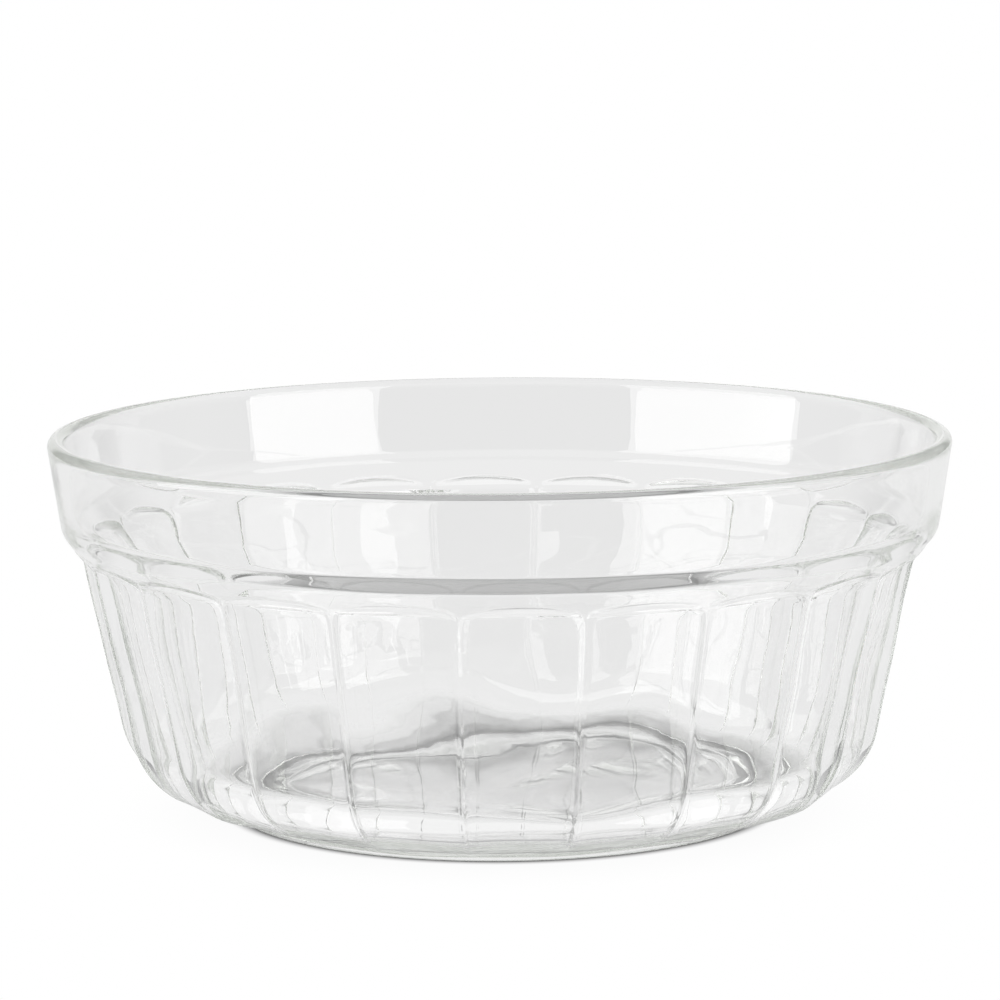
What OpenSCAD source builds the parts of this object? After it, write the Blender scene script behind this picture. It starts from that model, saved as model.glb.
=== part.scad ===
// Pressed-glass serving bowl: a plain collar over a leaning wall with flat panels, on a low round foot.
// The bowl is one piece of glass. Its axis is Z, it stands on z = 0 and one panel faces -Y.

/* [Overall] */
// Diameter over the lip, the widest place
rim_diameter = 200; // [160:1:250]
// Height from the table to the top of the lip
height = 84; // [70:1:110]

/* [Collar] */
// Thickness of the glass in the collar and the lip
lip_thickness = 4; // [3:0.1:5]
// Radius of the two edges of the lip
lip_round = 1.9; // [0.8:0.1:2.4]
// Height of the collar, from the top of the lip to its lower edge
collar_height = 20.9; // [16:0.1:25]
// Lean of the collar from upright, in degrees
collar_lean = 8.5; // [4:0.5:12]
// Radius of the collar's lower edge
collar_round = 6; // [3:0.5:8]

/* [Shoulder] */
// How far the shoulder steps in from the collar to the wall
shoulder_step = 4.5; // [3.5:0.1:6]
// Height of the sloping shoulder
shoulder_drop = 5.8; // [5:0.1:8]
// Radius of the hollow where the shoulder meets the wall, outside
neck_round = 1.2; // [0.5:0.1:3]
// Height of the ledge's outer edge, inside, above the collar's lower edge
ledge_rise = 3.4; // [2:0.1:5]
// How far the ledge falls from the collar in to the wall
ledge_drop = 7.9; // [6:0.1:10]
// Radius of the hollow where the collar turns into the ledge, inside
ledge_round = 4; // [2:0.5:6]
// Radius of the edge where the ledge turns into the wall, inside
inner_neck_round = 4; // [2:0.5:6]

/* [Wall] */
// Lean of the wall from upright, in degrees
wall_lean = 12.3; // [8:0.1:16]
// Thickness of the glass in the middle of a panel
wall_thickness = 4; // [3:0.1:5]
// Radius of the heel, where the wall turns under to the foot
heel_round = 21; // [14:0.5:26]
// Height at which the wall and the underside would meet if the heel were sharp
heel_height = 5.7; // [5:0.1:9]
// Width of the underside, from that sharp heel in to the foot
underside_width = 19.7; // [16:0.1:26]

/* [Panels] */
// Number of flat panels round the wall
panel_count = 22; // [16:1:28]
// Width of the rib of round wall that is left between two panels
rib_width = 0.6; // [0.4:0.1:1.5]
// Distance from the collar's lower edge down to the top of a panel's flat face
panel_drop = 5.4; // [4.5:0.1:7]
// Lean from upright, in degrees, of the slope that cuts into the shoulder over each panel
panel_slope = 53; // [46:1:65]
// Radius of the hollow between a panel's face and that slope
panel_round = 3; // [0.5:0.5:4]

/* [Foot] */
// Height of the foot
foot_height = 2.1; // [1.5:0.1:3]
// Width of the flat step between the foot and the underside of the panels
foot_step = 0.4; // [0.2:0.1:2]
// Radius of the foot's lower edge
foot_edge = 0.7; // [0.3:0.1:1]
// Width of the flat ring that the bowl stands on
ring_width = 8; // [5:0.5:14]
// Depth of the hollow under the foot, inside the ring
recess_depth = 0.8; // [0.4:0.1:1.2]

/* [Inside] */
// Thickness of the glass between the floor and the hollow of the foot
floor_thickness = 5.2; // [4:0.1:7]
// Radius between the floor and the wall, inside
inner_heel_round = 8; // [5:0.5:16]

/* [Hidden] */
$fn = 128;
// Pieces in each rounded corner of an outline
arc_steps = 10;
// Distance from the axis that lies outside every part of the bowl
reach = rim_diameter;

floor_height = recess_depth + floor_thickness;

// The lip's edges are rounded by no more than this share of the glass
lip_share = 0.48;
lip_edge = min(lip_round, lip_share * lip_thickness);
// Sharp corner of the lip outside, from which the rounded lip comes out at the rim's own diameter
rim_corner = rim_diameter / 2 + lip_edge * (tan(collar_lean) + 1 / cos(collar_lean) - 1);

// Lower edge of the collar, and the neck under the shoulder, where the wall begins
shoulder_height = height - collar_height;
shoulder_radius = rim_corner - collar_height * tan(collar_lean);
neck_height = shoulder_height - shoulder_drop;
neck_radius = shoulder_radius - shoulder_step;
panel_top = shoulder_height - panel_drop;

// The ledge inside: its outer edge under the collar, and its inner edge at the top of the wall
ledge_height = shoulder_height + ledge_rise;
ledge_radius = rim_corner - lip_thickness - (height - ledge_height) * tan(collar_lean);
wall_top = ledge_height - ledge_drop;

// Angle from the middle of one panel to the middle of the next
pitch = 360 / panel_count;

// Distance from the axis to the round wall, to the middle of a panel and to the inside, at height z
function wall_radius(z) = neck_radius - (neck_height - z) * tan(wall_lean);
function panel_radius(z) = wall_radius(z) * cos(pitch / 2) + rib_width / 2 * sin(pitch / 2);
function inner_radius(z) = panel_radius(z) - wall_thickness / cos(wall_lean);

// The foot, and the inner edge of the ring that the bowl stands on
foot_radius = panel_radius(heel_height) - underside_width;
ring_inner = foot_radius - ring_width;

function unit(v) = v / norm(v);

// Arc of radius r that rounds the corner b between the points a and c
function corner_arc(a, b, c, r) =
    let (
        to_a = unit(a - b),
        to_c = unit(c - b),
        half = acos(to_a * to_c) / 2,
        centre = b + unit(to_a + to_c) * r / sin(half),
        first = b + to_a * r / tan(half) - centre,
        last = b + to_c * r / tan(half) - centre,
        start = atan2(first[1], first[0]),
        step = atan2(first[0] * last[1] - first[1] * last[0], first * last) / arc_steps
    )
    [for (i = [0 : arc_steps]) centre + r * [cos(start + i * step), sin(start + i * step)]];

// Closed outline through points given as [distance from the axis, height, radius of the corner]
function rounded(points) =
    let (
        count = len(points),
        places = [for (p = points) [p[0], p[1]]]
    )
    [for (i = [0 : count - 1])
        each points[i][2] > 0
            ? corner_arc(places[(i + count - 1) % count], places[i], places[(i + 1) % count], points[i][2])
            : [places[i]]];

// Round shell before its panels are cut: outside from the foot up to the lip, then inside down to the floor
module shell() {
    rotate_extrude()
        polygon(rounded([
            [0, foot_height, 0],
            [wall_radius(foot_height), foot_height, 0],
            [neck_radius, neck_height, neck_round],
            [shoulder_radius, shoulder_height, collar_round],
            [rim_corner, height, lip_edge],
            [rim_corner - lip_thickness, height, lip_edge],
            [ledge_radius, ledge_height, ledge_round],
            [inner_radius(wall_top), wall_top, inner_neck_round],
            [inner_radius(floor_height), floor_height, inner_heel_round],
            [0, floor_height, 0]
        ]));
}

// Everything on the inner side of one panel's face and over the slope at its top, up to above the lip
module panel_side() {
    slope_end = panel_top + (reach - panel_radius(panel_top)) / tan(panel_slope);
    rotate([90, 0, 0])
        linear_extrude(2 * reach, center = true)
            polygon(rounded([
                [-reach, foot_height, 0],
                [foot_radius + foot_step, foot_height, 0],
                [panel_radius(heel_height), heel_height, heel_round],
                [panel_radius(panel_top), panel_top, panel_round],
                [reach, slope_end, 0],
                [-reach, slope_end, 0]
            ]));
}

// Round foot with the hollow under it, reaching up into the floor of the shell
module foot() {
    rotate_extrude()
        polygon(rounded([
            [0, recess_depth, 0],
            [ring_inner - recess_depth, recess_depth, 0],
            [ring_inner, 0, 0],
            [foot_radius, 0, foot_edge],
            [foot_radius, foot_height, 0],
            [foot_radius - foot_height, foot_height + recess_depth, 0],
            [0, foot_height + recess_depth, 0]
        ]));
}

// The whole bowl, pressed in one piece. It is built with an edge between two panels at +X, where the
// round shapes begin and end, and then turned so that the middle of the first panel faces -Y
module bowl() {
    color([0.90, 0.94, 0.92, 0.5])
        rotate([0, 0, -90 - pitch / 2])
            union() {
                intersection() {
                    shell();
                    intersection_for (i = [0 : panel_count - 1])
                        rotate([0, 0, pitch / 2 + i * pitch])
                            panel_side();
                }
                foot();
            }
}

bowl();
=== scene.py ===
"""A clear pressed-glass serving bowl on a pale studio floor, seen from the front and a little above."""
import logging
import math
from dataclasses import dataclass
from enum import Enum

import bpy
import numpy as np
from mathutils import Matrix, Vector


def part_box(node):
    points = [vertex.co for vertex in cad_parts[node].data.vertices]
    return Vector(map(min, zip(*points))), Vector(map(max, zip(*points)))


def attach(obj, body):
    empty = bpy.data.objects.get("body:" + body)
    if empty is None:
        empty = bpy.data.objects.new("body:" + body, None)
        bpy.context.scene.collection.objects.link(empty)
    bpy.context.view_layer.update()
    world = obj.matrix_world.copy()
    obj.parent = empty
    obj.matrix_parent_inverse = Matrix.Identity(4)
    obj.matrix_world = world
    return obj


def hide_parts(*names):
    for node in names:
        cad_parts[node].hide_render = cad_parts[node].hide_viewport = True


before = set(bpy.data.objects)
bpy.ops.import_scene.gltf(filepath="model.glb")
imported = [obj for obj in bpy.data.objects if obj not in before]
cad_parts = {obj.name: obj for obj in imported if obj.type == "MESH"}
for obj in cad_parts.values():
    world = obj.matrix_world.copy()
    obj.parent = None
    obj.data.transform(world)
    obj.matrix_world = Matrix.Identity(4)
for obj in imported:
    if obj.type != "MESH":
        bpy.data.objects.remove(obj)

Array = np.ndarray
Colour = tuple[float, float, float]
# Two places between which one value turns into another
Span = tuple[float, float]
# Distances from the axis and heights, both by row and column
Skin = tuple[Array, Array]
Socket = bpy.types.NodeSocket

LOG = logging.getLogger("bowl")
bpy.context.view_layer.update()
BODY = "root"

WHITE = (1.0, 1.0, 1.0, 1.0)
GOLDEN_ANGLE = math.pi * (3.0 - math.sqrt(5.0))
# Points of an outline that lie closer than this, in metres, count as one
SAME_PLACE = 1e-9
# The least length that a vector is divided by
LEAST_LENGTH = 1e-12
# Enough for light to find its way along the glass and out again
BOUNCES = 128


class Ray(Enum):
    """Kinds of light path that a surface can tell apart."""

    CAMERA = "Is Camera Ray"
    GLOSSY = "Is Glossy Ray"
    THROUGH_GLASS = "Is Transmission Ray"
    SHADOW = "Is Shadow Ray"


class Side(Enum):
    """The two sides of the glass, each with its own ripples. The value sets the ripples' phases."""

    OUTSIDE = 1
    INSIDE = 2


@dataclass(frozen=True)
class Pace:
    """How close an outline's points lie: the longest step in metres and the widest turn in degrees."""

    length: float
    turn: float


def unit(vectors: Array) -> Array:
    """Vectors scaled to length one.

    Args:
        vectors: An array whose last axis holds the components.

    Returns:
        The same array with each vector divided by its length.
    """
    return vectors / np.linalg.norm(vectors, axis=-1, keepdims=True)


def rounded_line(corners: Array, steps: int) -> Array:
    """An open outline whose inner corners are arcs.

    Each arc touches both sides of its corner. Its centre lies on the corner's bisector, at the radius
    divided by the sine of half the corner's angle. Its points turn evenly from one touching point to the
    other.

    Args:
        corners: Rows of distance from the axis, height and radius of the corner.
        steps: Number of pieces in each arc.

    Returns:
        Rows of distance from the axis and height.
    """
    places, radius = corners[:, :2], corners[1:-1, 2:]
    middle = places[1:-1]
    before, after = unit(places[:-2] - middle), unit(places[2:] - middle)
    half = np.arccos(np.clip((before * after).sum(1, keepdims=True), -1.0, 1.0)) / 2
    centre = middle + unit(before + after) * radius / np.sin(half)
    first = middle + before * radius / np.tan(half) - centre
    last = middle + after * radius / np.tan(half) - centre
    start = np.arctan2(first[:, 1], first[:, 0])[:, None]
    cross = first[:, 0] * last[:, 1] - first[:, 1] * last[:, 0]
    sweep = np.arctan2(cross, (first * last).sum(1))[:, None]
    angle = start + sweep * np.linspace(0.0, 1.0, steps + 1)
    arcs = centre[:, None, :] + radius[:, None, :] * np.stack([np.cos(angle), np.sin(angle)], -1)
    return np.concatenate([places[:1], arcs.reshape(-1, 2), places[-1:]])


def paced(line: Array, pace: Pace) -> Array:
    """A line's points moved so that they lie closer where it bends.

    Each piece of the line counts as its length over the longest step plus its bend over the widest turn,
    and the new points divide the whole count evenly.

    Args:
        line: Rows of distance from the axis and height.
        pace: The longest step and the widest turn.

    Returns:
        Rows of distance from the axis and height, with the line's own first and last points.
    """
    gaps = np.linalg.norm(np.diff(line, axis=0), axis=1)
    line = line[np.concatenate([[True], gaps > SAME_PLACE])]
    steps = np.diff(line, axis=0)
    heading = np.unwrap(np.arctan2(steps[:, 1], steps[:, 0]))
    bend = np.abs(np.diff(heading, prepend=heading[0], append=heading[-1])) / math.radians(pace.turn)
    count = np.linalg.norm(steps, axis=1) / pace.length + (bend[:-1] + bend[1:]) / 2
    along = np.concatenate([[0.0], np.cumsum(count)])
    even = np.linspace(0.0, along[-1], max(2, math.ceil(along[-1]) + 1))
    return np.stack([np.interp(even, along, line[:, 0]), np.interp(even, along, line[:, 1])], -1)


def turned(line: Array, columns: int) -> Skin:
    """An outline carried round the axis: each column has the same distances and heights.

    Args:
        line: Rows of distance from the axis and height.
        columns: Number of columns.

    Returns:
        Distances from the axis and heights, both by row and column.
    """
    return np.repeat(line[:, :1], columns, 1), np.repeat(line[:, 1:], columns, 1)


def soft_min(first: Array, second: Array, softness: float) -> Array:
    """The smaller of two values, blended where they are close.

    It is the minimum less a quarter of the square of what their difference lacks to the softness, over the
    softness, so that a crease between two surfaces becomes an even round.

    Args:
        first: The first values.
        second: The second values.
        softness: The difference at which the blend begins, in metres.

    Returns:
        The blended values.
    """
    lack = np.maximum(softness - np.abs(first - second), 0.0)
    return np.minimum(first, second) - lack ** 2 / (4.0 * softness)


class NodeGraph:
    """A short way to add and join shader nodes."""

    def __init__(self, tree: bpy.types.NodeTree) -> None:
        """Starts from an empty tree."""
        self.tree = tree
        tree.nodes.clear()

    def add(self, kind: str, **inputs: object) -> bpy.types.Node:
        """Adds a node and sets or joins its inputs.

        Args:
            kind: The node's type, without the ShaderNode prefix.
            **inputs: Input names with spaces as underscores, or in0, in1 for numbered sockets. A value
                is either a constant or an output socket to join.

        Returns:
            The new node.
        """
        node = self.tree.nodes.new("ShaderNode" + kind)
        for name, value in inputs.items():
            numbered = name.startswith("in") and name[2:].isdigit()
            socket = node.inputs[int(name[2:])] if numbered else node.inputs[name.replace("_", " ")]
            self.feed(socket, value)
        return node

    def feed(self, socket: Socket, value: object) -> None:
        """Joins an output to a socket, or sets the socket's own constant.

        Args:
            socket: The input socket.
            value: An output socket or a constant.
        """
        if isinstance(value, bpy.types.NodeSocket):
            self.tree.links.new(value, socket)
        else:
            socket.default_value = value

    def math(self, operation: str, first: Socket | float, second: Socket | float) -> Socket:
        """Adds a Math node.

        Args:
            operation: The node's operation.
            first: The first value.
            second: The second value.

        Returns:
            The node's output.
        """
        node = self.add("Math", in0=first, in1=second)
        node.operation = operation
        return node.outputs[0]

    def length(self, vector: Socket) -> Socket:
        """Adds a node that measures a vector.

        Args:
            vector: The vector.

        Returns:
            Its length.
        """
        node = self.add("VectorMath", in0=vector)
        node.operation = "LENGTH"
        return node.outputs["Value"]

    def ramp(self, value: Socket, span: Span, at_low: Socket | float, at_high: Socket | float) -> Socket:
        """Adds a smooth step from one value to another.

        Args:
            value: What the step reads.
            span: Where the step begins and ends.
            at_low: The result up to where it begins.
            at_high: The result from where it ends.

        Returns:
            The step's output.
        """
        node = self.add("MapRange", Value=value, From_Min=span[0], From_Max=span[1],
                        To_Min=at_low, To_Max=at_high)
        node.interpolation_type = "SMOOTHSTEP"
        return node.outputs[0]

    def rays(self, *kinds: Ray) -> Socket:
        """Adds a test of the light path.

        Args:
            *kinds: The kinds of path that pass.

        Returns:
            One where the path is any of these kinds, and zero elsewhere.
        """
        path = self.add("LightPath")
        total = path.outputs[kinds[0].value]
        for kind in kinds[1:]:
            total = self.math("MAXIMUM", total, path.outputs[kind.value])
        return total


@dataclass(frozen=True)
class GlassFinish:
    """Clear soda-lime glass from a press mould: fire-polished, faintly wavy, a trace of green in its depth.

    Lengths are in metres. A shadow value is the share of light that one surface lets through to the table.
    """

    name: str = "pressed_glass"
    refraction: float = 1.517
    depth_tint: Colour = (0.858, 0.872, 0.848)
    depth_density: float = 10.0
    peel_scale: float = 130.0
    peel_detail: float = 2.0
    wall_peel: float = 0.00002
    collar_peel: float = 0.000006
    neck_span: Span = (0.050, 0.060)
    smear_scale: float = 38.0
    smear_detail: float = 4.0
    smear_distortion: float = 1.2
    smear_span: Span = (0.52, 0.74)
    smear_roughness: float = 0.035
    steep_shadow: float = 0.98
    flat_shadow: float = 0.985
    flat_span: Span = (0.7, 0.98)
    ring_shadow: float = 0.25
    ring_span: Span = (0.051, 0.053)
    contact_span: Span = (0.0005, 0.0032)

    def surface(self, graph: NodeGraph, place: Socket, above: Socket) -> bpy.types.Node:
        """The refracting shader, with mould marks and smears.

        Fine noise lifts the surface, more in the wall and the floor than in the collar. Wider noise makes
        some places less polished.

        Args:
            graph: The material's nodes.
            place: Object coordinates.
            above: Height above the table.

        Returns:
            The shader.
        """
        peel = graph.add("TexNoise", Vector=place, Scale=self.peel_scale, Detail=self.peel_detail)
        depth = graph.ramp(above, self.neck_span, self.wall_peel, self.collar_peel)
        marks = graph.math("MULTIPLY", peel.outputs["Fac"], depth)
        bump = graph.add("Bump", Height=marks, Strength=1.0, Distance=1.0)
        smear = graph.add("TexNoise", Vector=place, Scale=self.smear_scale, Detail=self.smear_detail,
                          Distortion=self.smear_distortion)
        polish = graph.ramp(smear.outputs["Fac"], self.smear_span, 0.0, self.smear_roughness)
        glass = graph.add("BsdfPrincipled", Roughness=polish, Normal=bump.outputs["Normal"])
        glass.inputs["Base Color"].default_value = WHITE
        glass.inputs["IOR"].default_value = self.refraction
        glass.inputs["Transmission Weight"].default_value = 1.0
        return glass

    def shadow(self, graph: NodeGraph, place: Socket, above: Socket) -> Socket:
        """The share of light that a surface lets through to the table.

        Level surfaces let a little more through than steep ones. The ring that stands on the table, which
        lies outside the hollow of the foot, gives a deeper shadow.

        Args:
            graph: The material's nodes.
            place: Object coordinates.
            above: Height above the table.

        Returns:
            The share.
        """
        slope = graph.add("SeparateXYZ", Vector=graph.add("NewGeometry").outputs["True Normal"])
        level = graph.math("ABSOLUTE", slope.outputs["Z"], 0.0)
        through = graph.ramp(level, self.flat_span, self.steep_shadow, self.flat_shadow)
        ring = graph.ramp(graph.length(place), self.ring_span, 1.0, self.ring_shadow)
        contact = graph.ramp(above, self.contact_span, ring, 1.0)
        return graph.math("MULTIPLY", through, contact)

    def material(self) -> bpy.types.Material:
        """The finish as a node material.

        The surface refracts and the depth absorbs a little light. Shadow rays pass straight through, less a
        share at each surface.

        Returns:
            The material.
        """
        material = bpy.data.materials.new(self.name)
        material.use_nodes = True
        graph = NodeGraph(material.node_tree)
        place = graph.add("TexCoord").outputs["Object"]
        above = graph.add("SeparateXYZ", Vector=place).outputs["Z"]
        glass = self.surface(graph, place, above)
        clear = graph.add("BsdfTransparent", Color=self.shadow(graph, place, above))
        shown = graph.add("MixShader", in0=graph.rays(Ray.SHADOW), in1=glass.outputs[0],
                          in2=clear.outputs[0])
        body = graph.add("VolumeAbsorption", Density=self.depth_density)
        body.inputs["Color"].default_value = (*self.depth_tint, 1.0)
        graph.add("OutputMaterial", Surface=shown.outputs[0], Volume=body.outputs[0])
        return material


@dataclass
class PressedBowl:
    """The bowl: one piece of glass with a plain collar, a shoulder, a panelled wall and a round foot.

    Lengths are in metres and angles in radians. Heights are above the table.
    """

    # Sizes, which are the CAD's own
    rim_radius: float
    height: float
    lip_thickness: float = 0.004
    lip_round: float = 0.0019
    collar_height: float = 0.0209
    collar_lean: float = math.radians(8.5)
    collar_round: float = 0.006
    shoulder_step: float = 0.0045
    shoulder_drop: float = 0.0058
    neck_round: float = 0.0012
    ledge_rise: float = 0.0034
    ledge_drop: float = 0.0079
    ledge_round: float = 0.004
    inner_neck_round: float = 0.004
    wall_lean: float = math.radians(12.3)
    wall_thickness: float = 0.004
    heel_round: float = 0.021
    heel_height: float = 0.0057
    underside_width: float = 0.0197
    panel_count: int = 22
    rib_width: float = 0.0006
    panel_drop: float = 0.0054
    panel_slope: float = math.radians(53.0)
    panel_round: float = 0.003
    foot_height: float = 0.0021
    foot_step: float = 0.0004
    foot_edge: float = 0.0007
    ring_width: float = 0.008
    recess_depth: float = 0.0008
    floor_thickness: float = 0.0052
    inner_heel_round: float = 0.008

    # Details of the pressing that only this model has: the heights between which the ribs fade out into the
    # heel, the round and the bead along the panels' edges, and the faint ripples
    petal_low: float = 0.0024
    petal_high: float = 0.0060
    edge_round: float = 0.00004
    bead_height: float = 0.00024
    bead_width: float = 0.00055
    bead_corner: float = 0.003
    ripple: float = 0.00024
    collar_ripple: float = 0.00004
    ripple_waves: int = 16
    ripple_stride: int = 7
    ripple_short: float = 0.018
    ripple_long: float = 0.06
    ripple_start: float = 0.3

    # Rows and columns of the mesh. The reach is in widths of a rib, the edge's start is a share of its
    # margin, and a gather is the power that draws rows towards an edge
    rib_columns: int = 6
    rib_reach: float = 1.4
    panel_columns: int = 7
    edge_margin: float = 0.00025
    edge_start: float = 0.7
    edge_rows: int = 6
    above_rows: int = 4
    below_rows: int = 10
    below_gather: float = 1.7
    face_rows: int = 12
    face_gather: float = 1.5
    arc_steps: int = 24
    foot_arc_steps: int = 6
    collar_pace: Pace = Pace(0.002, 9.0)
    heel_pace: Pace = Pace(0.0025, 5.0)
    foot_pace: Pace = Pace(0.008, 20.0)
    inner_pace: Pace = Pace(0.004, 10.0)

    @property
    def pitch(self) -> float:
        """Angle from the middle of one panel to the middle of the next."""
        return 2 * math.pi / self.panel_count

    @property
    def rim_corner(self) -> float:
        """Distance from the axis to the sharp corner that the rounded lip would have outside."""
        lean = self.collar_lean
        return self.rim_radius + self.lip_round * (math.tan(lean) + 1 / math.cos(lean) - 1)

    @property
    def shoulder_height(self) -> float:
        """Height of the collar's lower edge."""
        return self.height - self.collar_height

    @property
    def shoulder_radius(self) -> float:
        """Distance from the axis to the collar's lower edge."""
        return self.rim_corner - self.collar_height * math.tan(self.collar_lean)

    @property
    def neck_height(self) -> float:
        """Height of the neck, where the shoulder meets the wall."""
        return self.shoulder_height - self.shoulder_drop

    @property
    def neck_radius(self) -> float:
        """Distance from the axis to the neck."""
        return self.shoulder_radius - self.shoulder_step

    @property
    def panel_top(self) -> float:
        """Height of the top of the panels' flat faces."""
        return self.shoulder_height - self.panel_drop

    @property
    def floor_height(self) -> float:
        """Height of the floor inside."""
        return self.recess_depth + self.floor_thickness

    @property
    def foot_radius(self) -> float:
        """Distance from the axis to the outside of the foot."""
        return self.panel_radius(self.heel_height) - self.underside_width

    def wall_radius(self, height: float) -> float:
        """Distance from the axis to the round wall that the panels are cut from."""
        return self.neck_radius - (self.neck_height - height) * math.tan(self.wall_lean)

    def panel_radius(self, height: float) -> float:
        """Distance from the axis to the middle of a panel."""
        half = self.pitch / 2
        return self.wall_radius(height) * math.cos(half) + self.rib_width / 2 * math.sin(half)

    def inner_radius(self, height: float) -> float:
        """Distance from the axis to the inside of the wall."""
        return self.panel_radius(height) - self.wall_thickness / math.cos(self.wall_lean)

    def round_line(self) -> Array:
        """Outline of the round outside, from the crest of the lip down to the table."""
        return rounded_line(np.array([
            (self.rim_corner - self.lip_thickness / 2, self.height, 0.0),
            (self.rim_corner, self.height, self.lip_round),
            (self.shoulder_radius, self.shoulder_height, self.collar_round),
            (self.neck_radius, self.neck_height, self.neck_round),
            (self.wall_radius(0.0), 0.0, 0.0),
        ]), self.arc_steps)

    def panel_line(self) -> Array:
        """Outline of a panel's middle, from the foot round the heel, up its face and the slope over it.

        Returns:
            Rows of distance from the axis and height.
        """
        face = self.panel_radius(self.panel_top)
        slope_end = self.panel_top + (self.rim_corner - face) / math.tan(self.panel_slope)
        return rounded_line(np.array([
            (self.foot_radius + self.foot_step, self.foot_height, 0.0),
            (self.panel_radius(self.heel_height), self.heel_height, self.heel_round),
            (face, self.panel_top, self.panel_round),
            (self.rim_corner, slope_end, 0.0),
        ]), self.arc_steps)

    def inner_line(self) -> Array:
        """Outline of the inside, from the crest of the lip over the ledge to the middle of the floor.

        Returns:
            Rows of distance from the axis and height.
        """
        ledge_height = self.shoulder_height + self.ledge_rise
        ledge_radius = (self.rim_corner - self.lip_thickness
                        - (self.height - ledge_height) * math.tan(self.collar_lean))
        wall_top = ledge_height - self.ledge_drop
        return rounded_line(np.array([
            (self.rim_corner - self.lip_thickness / 2, self.height, 0.0),
            (self.rim_corner - self.lip_thickness, self.height, self.lip_round),
            (ledge_radius, ledge_height, self.ledge_round),
            (self.inner_radius(wall_top), wall_top, self.inner_neck_round),
            (self.inner_radius(self.floor_height), self.floor_height, self.inner_heel_round),
            (0.0, self.floor_height, 0.0),
        ]), self.arc_steps)

    def foot_line(self) -> Array:
        """Outline of the foot and the hollow under it, from the heel in to the axis.

        The ring's inner edges have half the round of its outer one.

        Returns:
            Rows of distance from the axis and height.
        """
        ring_inner = self.foot_radius - self.ring_width
        soft = self.foot_edge / 2
        return rounded_line(np.array([
            (self.foot_radius, self.foot_height, 0.0),
            (self.foot_radius, 0.0, self.foot_edge),
            (ring_inner, 0.0, soft),
            (ring_inner - self.recess_depth, self.recess_depth, soft),
            (0.0, self.recess_depth, 0.0),
        ]), self.foot_arc_steps)

    def columns(self) -> Array:
        """Angles of the mesh's columns, packed closer at the ribs.

        The columns are even across a rib and a little past its edges. From there their distance from the
        rib grows by the same factor from one to the next, up to the panel's middle.

        Returns:
            The angles, measured from the front towards +X.
        """
        near = self.rib_reach * self.rib_width / self.wall_radius(self.neck_height)
        rib = np.linspace(0.0, near, self.rib_columns)
        panel = np.geomspace(near, self.pitch / 2, self.panel_columns + 1)
        half = np.concatenate([rib, panel[1:]])
        whole = np.concatenate([half[:-1], self.pitch - half[:0:-1]])
        return (np.arange(self.panel_count)[:, None] * self.pitch + whole + self.pitch / 2).ravel()

    def arch(self, away: Array) -> Array:
        """Height of the edge where the slope over a panel meets the shoulder.

        The slope is a plane and the shoulder a cone. So the height is where a straight line in the panel's
        middle, over the cosine of the angle from the middle, equals the shoulder's own straight line.

        Args:
            away: Angles from the panels' middles.

        Returns:
            The heights.
        """
        spread = np.cos(away)
        climb = math.tan(self.panel_slope)
        lean = self.shoulder_step / self.shoulder_drop
        foot = self.neck_radius - lean * self.neck_height
        face = self.panel_radius(self.panel_top) - climb * self.panel_top
        return (spread * foot - face) / (climb - spread * lean)

    def bead(self, distance: Array) -> Array:
        """Height of the bead along a panel's edge: a bell curve over the distance from the edge."""
        return self.bead_height * np.exp(-(distance / self.bead_width) ** 2)

    def panels_end(self, away: Array) -> float:
        """Height from which the outside is round: just over the highest place of the panels' arches."""
        return float(self.arch(away).max()) + 2 * self.edge_margin

    def collar(self, away: Array) -> Skin:
        """The round lip, collar and upper shoulder, down to just over the panels."""
        line = self.round_line()
        return turned(paced(line[line[:, 1] > self.panels_end(away)], self.collar_pace), away.size)

    def wall(self, away: Array) -> Skin:
        """The lower shoulder and the panelled wall, down to where the heel begins.

        Each point lies at the soft minimum of the round outside and the panel, whose plane lies at its
        middle's distance over the cosine of the angle from the middle. A bead is added, by the soft minimum
        of the distances from the rib and from the arched top. The rows near that top follow it.

        Args:
            away: Angles of the columns from the panels' middles.

        Returns:
            Distances from the axis and heights, both by row and column.
        """
        margin, arch, top = self.edge_margin, self.arch(away), self.panels_end(away)
        low = self.panel_top - 2 * margin
        panel, blank = self.panel_line(), self.round_line()[::-1]
        fall = np.linspace(1.0, 0.0, self.below_rows + 1)[1:, None] ** self.below_gather
        drop = np.linspace(0.0, 1.0, self.face_rows + 1)[1:, None] ** self.face_gather
        heights = np.concatenate([
            top + (arch + margin - top) * np.linspace(0.0, 1.0, self.above_rows)[:, None],
            arch + margin * np.linspace(self.edge_start, -1.0, self.edge_rows)[:, None],
            low + (arch - margin - low) * fall,
            low - (low - panel[self.arc_steps + 1, 1]) * drop + 0 * arch,
        ])
        uncut = np.interp(heights, blank[:, 1], blank[:, 0])
        flat = np.interp(heights, panel[1:, 1], panel[1:, 0]) / np.cos(away)
        from_rib = (self.pitch / 2 - away) * uncut
        bead = self.bead(soft_min(from_rib, arch - heights, self.bead_corner))
        return soft_min(flat, uncut, self.edge_round) + bead, heights

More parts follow.
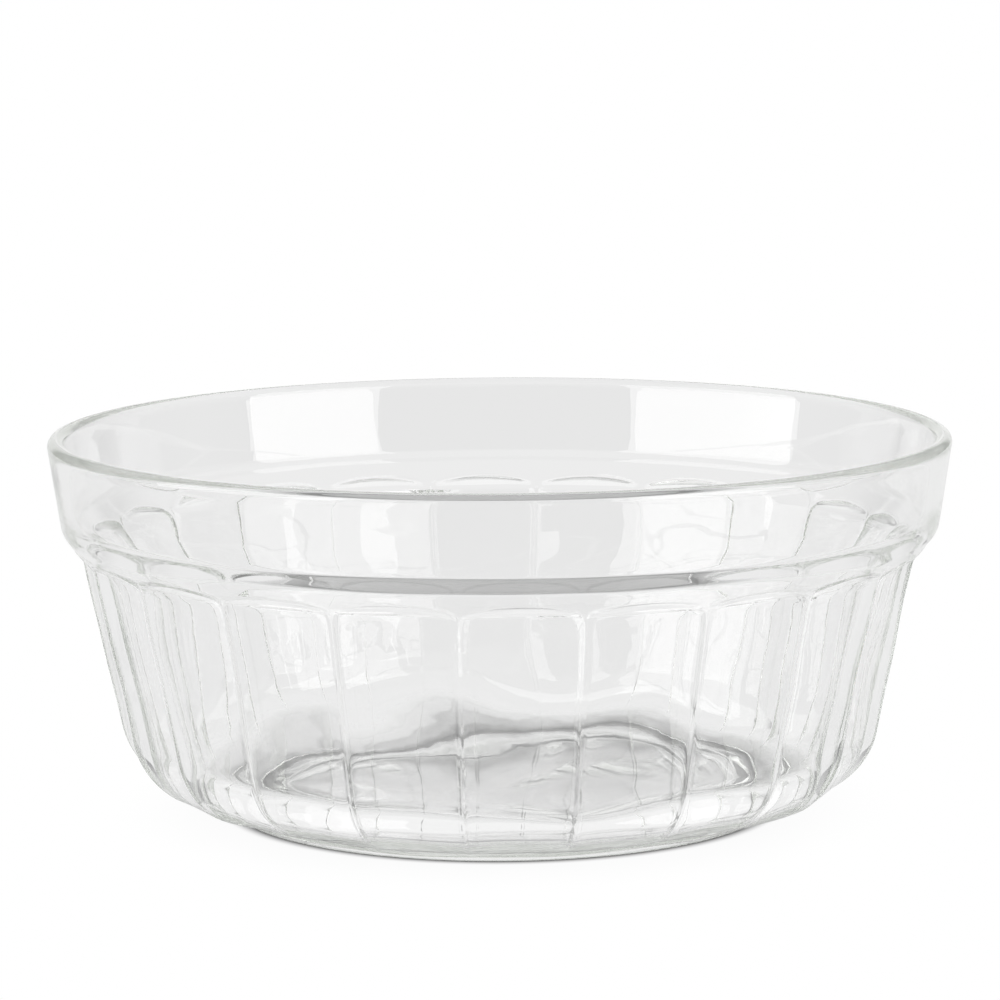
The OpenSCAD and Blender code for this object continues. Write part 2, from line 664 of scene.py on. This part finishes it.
    def heel(self, away: Array) -> Skin:
        """The heel and the underside, from the wall in to the foot.

        The rows follow a panel's middle. Each point lies at the soft minimum of the panel, at its middle's
        distance over the cosine of the angle from the middle, and the rib. The rib and its bead fade out on
        the way down, so that each panel ends as a petal does and the underside is round.

        Args:
            away: Angles of the columns from the panels' middles.

        Returns:
            Distances from the axis and heights, both by row and column.
        """
        half = self.pitch / 2
        line = paced(self.panel_line()[self.arc_steps + 1::-1], self.heel_pace)[1:]
        middle, heights = line[:, :1], line[:, 1:]
        left = np.clip((heights - self.petal_low) / (self.petal_high - self.petal_low), 0.0, 1.0)
        full_rib = (middle - self.rib_width / 2 * math.sin(half)) / math.cos(half)
        rib = middle + (full_rib - middle) * left
        radii = soft_min(middle / np.cos(away), rib + 0 * away, self.edge_round)
        return radii + self.bead((half - away) * middle) * left, heights + 0 * away

    def outside(self, angles: Array) -> Skin:
        """The outside, from the crest of the lip to the middle of the underside.

        Args:
            angles: Angles of the columns.

        Returns:
            Distances from the axis and heights, both by row and column.
        """
        half = self.pitch / 2
        away = np.abs((angles + half) % self.pitch - half)
        foot = turned(paced(self.foot_line(), self.foot_pace), away.size)
        regions = [self.collar(away), self.wall(away), self.heel(away), foot]
        radii, heights = zip(*regions)
        return np.concatenate(radii), np.concatenate(heights)

    def inside(self, angles: Array) -> Skin:
        """The round inside, from the crest of the lip to the middle of the floor."""
        return turned(paced(self.inner_line(), self.inner_pace), angles.size)

    def ripples(self, points: Array, side: Side) -> Array:
        """Height of the faint waves that pressing leaves in the glass, fainter in the collar.

        They are a sum of sines, each a plane wave through space with its own direction, length and phase,
        which are spread by the golden angle.

        Args:
            points: Points by row, column and coordinate.
            side: Which side of the glass.

        Returns:
            Heights along the surface's normal by row and column.
        """
        wave = np.arange(self.ripple_waves)
        turn = (wave + side.value / 2) * GOLDEN_ANGLE
        climb = 1.0 - (2.0 * wave + 1.0) / self.ripple_waves
        flat = np.sqrt(1.0 - climb ** 2)
        way = np.stack([flat * np.cos(turn), flat * np.sin(turn), climb], -1)
        share = (wave * self.ripple_stride) % self.ripple_waves / self.ripple_waves
        length = self.ripple_short + (self.ripple_long - self.ripple_short) * share
        total = np.sin(points @ (way * (2.0 * math.pi / length)[:, None]).T + turn).sum(-1)
        collar = np.clip((points[..., 2] - self.neck_height) / self.shoulder_drop, 0.0, 1.0)
        depth = self.ripple + (self.collar_ripple - self.ripple) * collar
        return depth * total / math.sqrt(self.ripple_waves)

    def skin(self, side: Side, angles: Array) -> Array:
        """Points of one side of the glass, from the crest of the lip to the axis.

        A point lies at its row's height and at its distance from the axis in its column's direction, moved
        along the normal by the ripples. The normal is the cross product of the step to the next row and the
        step to the next column. The ripples fade out towards the crest of the lip and towards the foot.

        Args:
            side: Which side of the glass.
            angles: Angles of the columns.

        Returns:
            Points by row, column and coordinate.
        """
        radii, heights = self.outside(angles) if side is Side.OUTSIDE else self.inside(angles)
        points = np.stack([radii * np.sin(angles), -radii * np.cos(angles), heights], -1)
        steps = np.linalg.norm(np.diff(points[:, 0], axis=0), axis=1)
        along = np.concatenate([[0.0], np.cumsum(steps)])[:, None]
        across = np.roll(points, -1, 1) - np.roll(points, 1, 1)
        normal = np.cross(np.gradient(points, axis=0), across)
        normal /= np.maximum(np.linalg.norm(normal, axis=-1, keepdims=True), LEAST_LENGTH)
        from_lip = np.clip(along / self.lip_thickness, 0.0, 1.0)
        from_foot = np.clip(heights / self.foot_height - self.ripple_start, 0.0, 1.0)
        return points + normal * (self.ripples(points, side) * from_lip * from_foot)[..., None]

    def grid(self) -> Array:
        """Points of the whole glass, from the underside over the lip to the floor, less the two poles.

        Returns:
            Points by row, column and coordinate.
        """
        angles = self.columns()
        outside, inside = self.skin(Side.OUTSIDE, angles), self.skin(Side.INSIDE, angles)
        return np.concatenate([outside[-2::-1], inside[1:-1]])

    def build(self) -> bpy.types.Object:
        """Makes the bowl's mesh from its grid, with one point at each pole.

        Returns:
            The bowl, in the CAD's frame.
        """
        points = self.grid()
        rows, columns = points.shape[:2]
        under, floor = (0.0, 0.0, self.recess_depth), (0.0, 0.0, self.floor_height)
        number = np.arange(rows * columns).reshape(rows, columns)
        after = np.roll(number, -1, 1)
        quads = np.stack([number[:-1], after[:-1], after[1:], number[1:]], -1).reshape(-1, 4)
        low = np.stack([after[0], number[0], np.full(columns, rows * columns)], -1)
        high = np.stack([number[-1], after[-1], np.full(columns, rows * columns + 1)], -1)
        mesh = bpy.data.meshes.new("bowl_glass")
        faces = quads.tolist() + low.tolist() + high.tolist()
        mesh.from_pydata(np.concatenate([points.reshape(-1, 3), [under, floor]]).tolist(), [], faces)
        mesh.polygons.foreach_set("use_smooth", np.ones(len(mesh.polygons), bool))
        mesh.update()
        bowl = bpy.data.objects.new("bowl_glass", mesh)
        bpy.context.scene.collection.objects.link(bowl)
        return bowl

    def dress(self, bowl: bpy.types.Object, finish: GlassFinish) -> None:
        """Gives the bowl its finish and ties it to the CAD.

        Args:
            bowl: The bowl.
            finish: Its finish.
        """
        bowl.data.materials.append(finish.material())
        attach(bowl, BODY)
        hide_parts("bowl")


@dataclass(frozen=True)
class Softbox:
    """A large rectangular lamp, placed by its direction from the bowl.

    The azimuth is measured from the front towards +X. Both angles are in degrees and lengths in metres.
    Radiance 1 is as bright as a white background.
    """

    name: str
    azimuth: float
    elevation: float
    width: float
    height: float
    radiance: float
    distance: float = 1.3

    def build(self, aim: Vector) -> bpy.types.Object:
        """Makes the lamp, facing a point.

        Args:
            aim: What it faces.

        Returns:
            The lamp.
        """
        lamp = bpy.data.lights.new(self.name, "AREA")
        lamp.shape = "RECTANGLE"
        lamp.size, lamp.size_y = self.width, self.height
        lamp.energy = self.radiance * math.pi * self.width * self.height
        box = bpy.data.objects.new(self.name, lamp)
        azimuth, elevation = math.radians(self.azimuth), math.radians(self.elevation)
        level = math.cos(elevation)
        towards = Vector((math.sin(azimuth) * level, -math.cos(azimuth) * level, math.sin(elevation)))
        box.location = aim + towards * self.distance
        box.rotation_mode = "QUATERNION"
        box.rotation_quaternion = (-towards).to_track_quat("-Z", "Y")
        bpy.context.scene.collection.objects.link(box)
        return box


@dataclass
class Studio:
    """The pale floor, the white backdrop with a dark card on each side, the lamps and the dim room.

    A level is a brightness, of which 1 is white. The contact and table spans are distances from the axis
    in metres. The other spans are shares of the viewing direction: along Y, from the front to the back, and
    along Z, upwards, for the top.
    """

    floor_radius: float = 3.0
    floor_sides: int = 96
    floor_drop: float = 0.00005
    floor_colour: float = 0.88
    contact_span: Span = (0.060, 0.064)
    table_span: Span = (0.060, 0.090)
    shadow_share: float = 0.06
    far_level: float = 0.845
    room_level: float = 0.30
    front_level: float = 0.32
    front_span: Span = (-0.45, 0.1)
    side_level: float = 0.50
    card_level: float = 0.20
    card_span: Span = (0.55, 0.82)
    back_level: float = 0.93
    back_span: Span = (0.90, 0.96)
    top_level: float = 0.90
    top_span: Span = (0.30, 0.60)
    aim_height: float = 0.05
    softboxes: tuple[Softbox, ...] = (
        Softbox("softbox_right", 53.0, 16.0, 0.92, 0.9, 2.2),
        Softbox("softbox_left", -68.0, 16.0, 1.3, 0.9, 2.2),
    )
    ceiling: Softbox = Softbox("ceiling", 180.0, 75.0, 2.4, 2.4, 1.65, 2.0)

    def floor_material(self) -> bpy.types.Material:
        """A pale matt floor that is white away from the bowl.

        To the camera it turns white from the foot on, less a share that keeps the shadow near the bowl. In
        the glass it turns nearly white a little farther out. Everywhere else light falls on it as on any
        matt surface.

        Returns:
            The material.
        """
        material = bpy.data.materials.new("pale_floor")
        material.use_nodes = True
        graph = NodeGraph(material.node_tree)
        matt = graph.add("BsdfDiffuse")
        matt.inputs["Color"].default_value = (self.floor_colour,) * 3 + (1.0,)
        reach = graph.length(graph.add("TexCoord").outputs["Object"])
        lit = graph.ramp(reach, self.contact_span, 0.0, 1.0 - self.shadow_share)
        clean = graph.math("MULTIPLY", graph.rays(Ray.CAMERA), lit)
        away = graph.ramp(reach, self.table_span, clean, 1.0)
        level = graph.math("MAXIMUM", graph.rays(Ray.CAMERA), self.far_level)
        white = graph.add("Emission", Strength=level)
        seen = graph.math("MULTIPLY", graph.rays(Ray.CAMERA, Ray.GLOSSY, Ray.THROUGH_GLASS), away)
        shown = graph.add("MixShader", in0=seen, in1=matt.outputs[0], in2=white.outputs[0])
        graph.add("OutputMaterial", Surface=shown.outputs[0])
        return material

    def floor(self) -> bpy.types.Object:
        """A round floor, a hair under the foot.

        Its corners lie evenly on a circle, at the cosine and the sine of their angle times the radius.

        Returns:
            The floor.
        """
        sides = self.floor_sides
        angle = np.linspace(0.0, 2 * math.pi, sides, endpoint=False)
        level = np.full(sides, -self.floor_drop)
        rim = np.stack([np.cos(angle) * self.floor_radius, np.sin(angle) * self.floor_radius, level], -1)
        mesh = bpy.data.meshes.new("floor")
        mesh.from_pydata(rim.tolist(), [], [list(range(sides))])
        mesh.materials.append(self.floor_material())
        floor = bpy.data.objects.new("floor", mesh)
        bpy.context.scene.collection.objects.link(floor)
        return floor

    def backdrop(self) -> bpy.types.World:
        """The surroundings, white to the camera.

        In the glass they show a nearly white backdrop behind the bowl, a dark card on each side of it, a
        light top, and a dimmer room at the sides and in front. Matt surfaces get an even dim light.

        Returns:
            The world.
        """
        world = bpy.data.worlds.new("studio")
        world.use_nodes = True
        graph = NodeGraph(world.node_tree)
        way = graph.add("SeparateXYZ", Vector=graph.add("TexCoord").outputs["Generated"])
        back, up = way.outputs["Y"], way.outputs["Z"]
        sides = graph.ramp(back, self.front_span, self.front_level, self.side_level)
        cards = graph.ramp(back, self.card_span, sides, self.card_level)
        depth = graph.ramp(back, self.back_span, cards, self.back_level)
        level = graph.ramp(up, self.top_span, depth, self.top_level)
        room = graph.add("Background", Strength=self.room_level)
        room.inputs["Color"].default_value = WHITE
        white = graph.add("Background", Strength=graph.math("MAXIMUM", graph.rays(Ray.CAMERA), level))
        white.inputs["Color"].default_value = WHITE
        looked_at = graph.rays(Ray.CAMERA, Ray.GLOSSY, Ray.THROUGH_GLASS)
        seen = graph.add("MixShader", in0=looked_at, in1=room.outputs[0], in2=white.outputs[0])
        graph.add("OutputWorld", Surface=seen.outputs[0])
        bpy.context.scene.world = world
        return world

    def build(self) -> None:
        """Makes the floor, the backdrop and the lamps. The ceiling lamp isn't seen in the glass."""
        self.floor()
        self.backdrop()
        aim = Vector((0.0, 0.0, self.aim_height))
        for softbox in self.softboxes:
            softbox.build(aim)
        ceiling = self.ceiling.build(aim)
        ceiling.visible_glossy = False
        ceiling.visible_transmission = False


@dataclass(frozen=True)
class PhotoCamera:
    """The photograph's viewpoint: a long lens a little above the rim, turned slightly on its own axis.

    Lengths are in metres, the lens and the sensor in millimetres, and angles in radians.
    """

    distance: float = 0.9856
    height: float = 0.2132
    azimuth: float = math.radians(-2.6)
    pitch: float = 0.1460
    roll: float = 0.0064
    lens: float = 161.27
    sensor: float = 36.0
    nearest: float = 0.01

    def build(self) -> bpy.types.Object:
        """Makes the camera and sets it as the scene's own.

        Returns:
            The camera.
        """
        data = bpy.data.cameras.new("camera")
        data.lens, data.sensor_width = self.lens, self.sensor
        data.clip_start = self.nearest
        camera = bpy.data.objects.new("camera", data)
        tilt = Matrix.Rotation(math.pi / 2 - self.pitch, 4, "X") @ Matrix.Rotation(-self.roll, 4, "Z")
        place = Matrix.Translation((0.0, -self.distance, self.height))
        camera.matrix_world = Matrix.Rotation(self.azimuth, 4, "Z") @ place @ tilt
        bpy.context.scene.collection.objects.link(camera)
        bpy.context.scene.camera = camera
        return camera


def set_up_rendering() -> None:
    """Plain colours out, and enough bounces for the glass."""
    scene = bpy.context.scene
    scene.view_settings.view_transform = "Standard"
    scene.cycles.max_bounces = BOUNCES
    scene.cycles.glossy_bounces = BOUNCES
    scene.cycles.transmission_bounces = BOUNCES
    scene.cycles.caustics_reflective = False
    scene.cycles.caustics_refractive = False


def main() -> None:
    """Builds the camera, the studio and the bowl, in that order."""
    logging.basicConfig(level=logging.INFO, format="%(name)s: %(message)s")
    set_up_rendering()
    PhotoCamera().build()
    Studio().build()
    low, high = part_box("bowl")
    bowl = PressedBowl(rim_radius=(high.x - low.x) / 2, height=high.z)
    piece = bowl.build()
    bowl.dress(piece, GlassFinish())
    LOG.info("%s: %d points, %d faces", piece.name, len(piece.data.vertices), len(piece.data.polygons))


if __name__ == "__main__":
    main()
